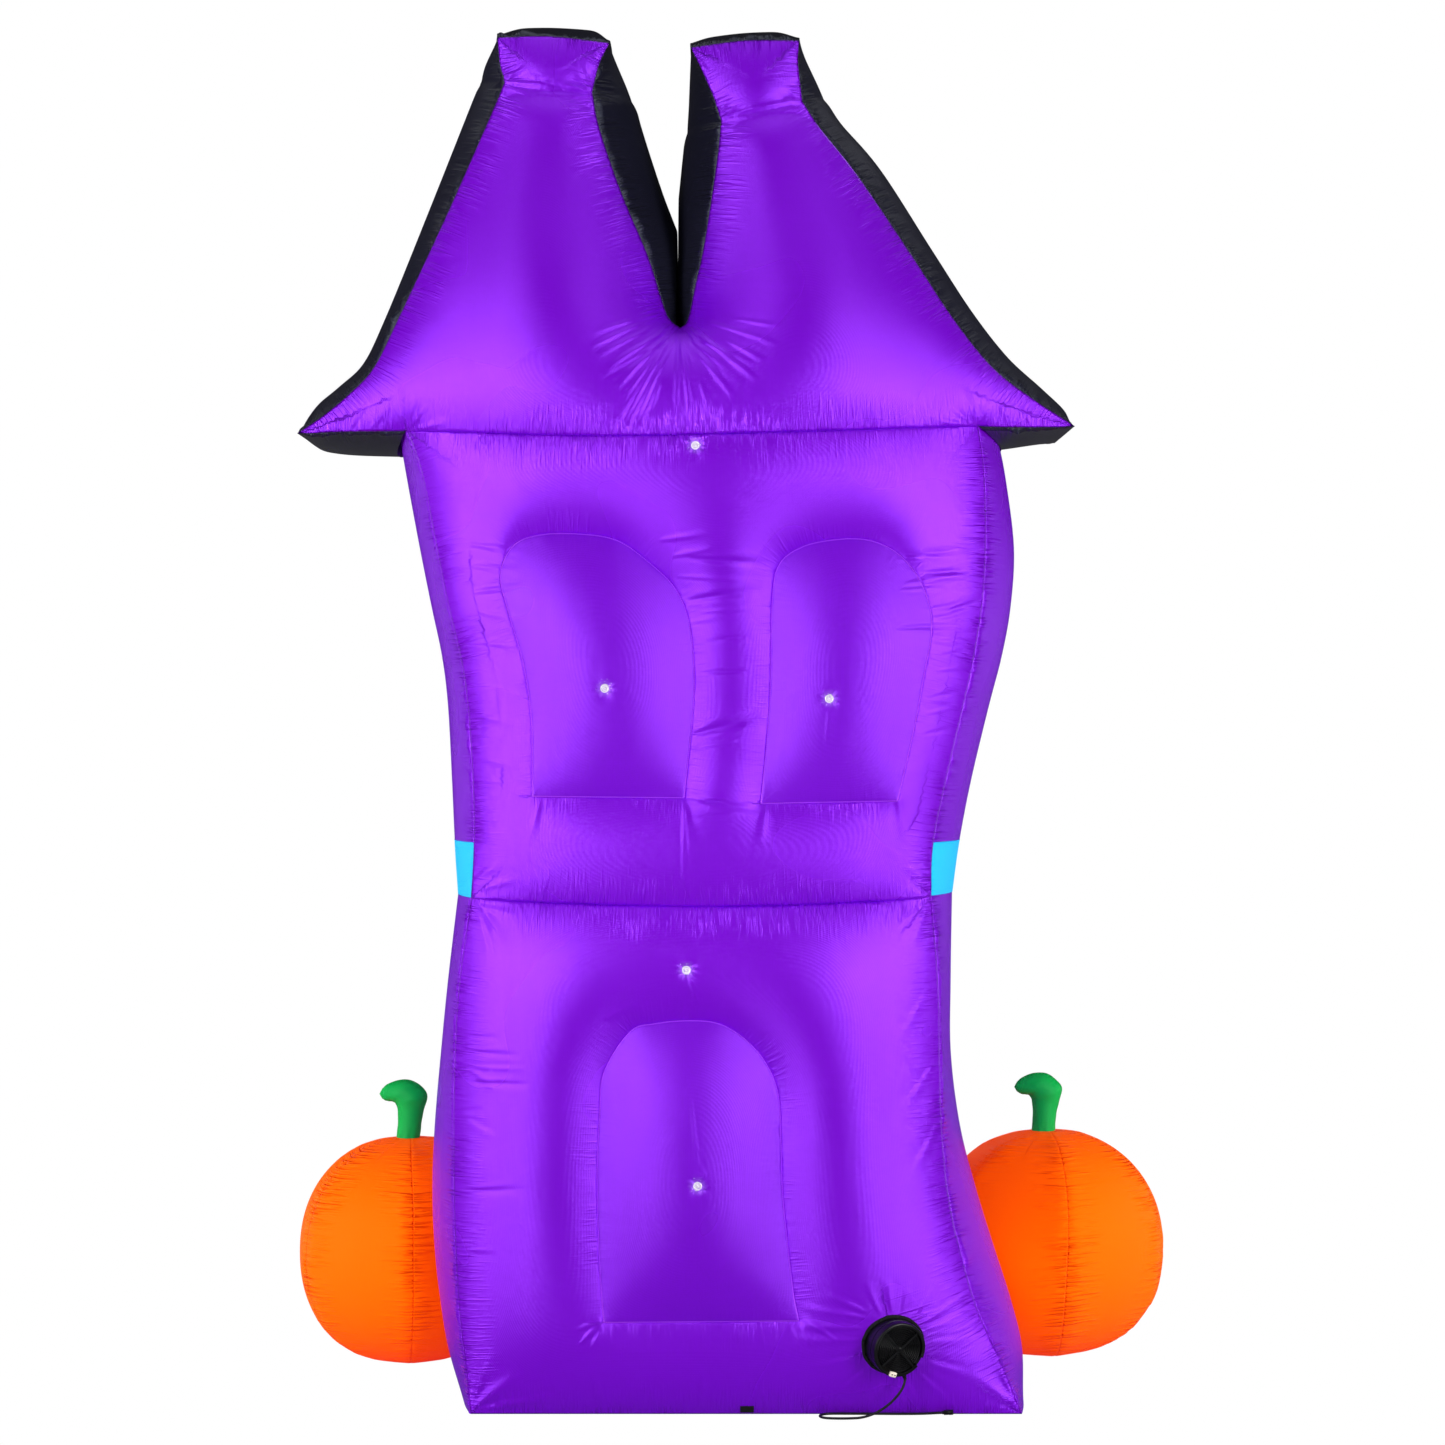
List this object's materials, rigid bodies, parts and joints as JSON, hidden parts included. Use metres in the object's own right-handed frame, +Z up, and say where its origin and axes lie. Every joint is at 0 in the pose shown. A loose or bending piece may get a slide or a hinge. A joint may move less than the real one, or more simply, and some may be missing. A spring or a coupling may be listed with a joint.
{
  "type": "inflatable haunted house",
  "caption": "Air-filled cloth haunted house with crooked roof towers, flared eaves, arched window and door panels, pumpkins at its feet and a corded blower on its rear.",
  "frame": {"origin": "middle of the flat base, on the ground, half way between the rear and the front seam planes", "axes": "+Z up; the rear face with the blower looks along -Y; +X is to the right as seen from behind"},
  "size_m": [1.8452, 0.9504, 2.7779],
  "materials": {
    "purple_cloth": "satin woven polyester, light sheen",
    "deep_purple_cloth": "satin woven polyester, a little darker",
    "black_cloth": "satin woven polyester",
    "blue_cloth": "satin woven polyester",
    "orange_cloth": "satin woven polyester",
    "green_cloth": "satin woven polyester",
    "clear_plastic": "clear lens",
    "black_plastic": "moulded",
    "cream_plastic": "moulded",
    "cord_rubber": "smooth sheath",
    "black_webbing": "woven tape"
  },
  "bodies": {
    "root": {"roof_rear_panel": "purple_cloth", "roof_front_panel": "purple_cloth", "roof_gusset": "black_cloth", "upper_rear_panel": "purple_cloth", "upper_front_panel": "purple_cloth", "upper_gusset": "purple_cloth", "window_rear_left": "deep_purple_cloth", "window_rear_right": "deep_purple_cloth", "window_front_left": "deep_purple_cloth", "window_front_right": "deep_purple_cloth", "side_band_left": "blue_cloth", "side_band_right": "blue_cloth", "lower_rear_panel": "purple_cloth", "lower_front_panel": "purple_cloth", "lower_gusset": "purple_cloth", "door_rear": "deep_purple_cloth", "door_front": "deep_purple_cloth", "pumpkin_left": "orange_cloth", "pumpkin_right": "orange_cloth", "pumpkin_stem_left": "green_cloth", "pumpkin_stem_right": "green_cloth", "light_lens_roof_seam": "clear_plastic", "light_lens_window_left": "clear_plastic", "light_lens_window_right": "clear_plastic", "light_lens_over_door": "clear_plastic", "light_lens_door": "clear_plastic", "blower_housing": "black_plastic", "blower_grille": "black_plastic", "blower_plug": "cream_plastic", "power_cord": "cord_rubber", "cord_connector": "black_plastic", "stake_tab": "black_webbing"}
  },
  "joints": []
}
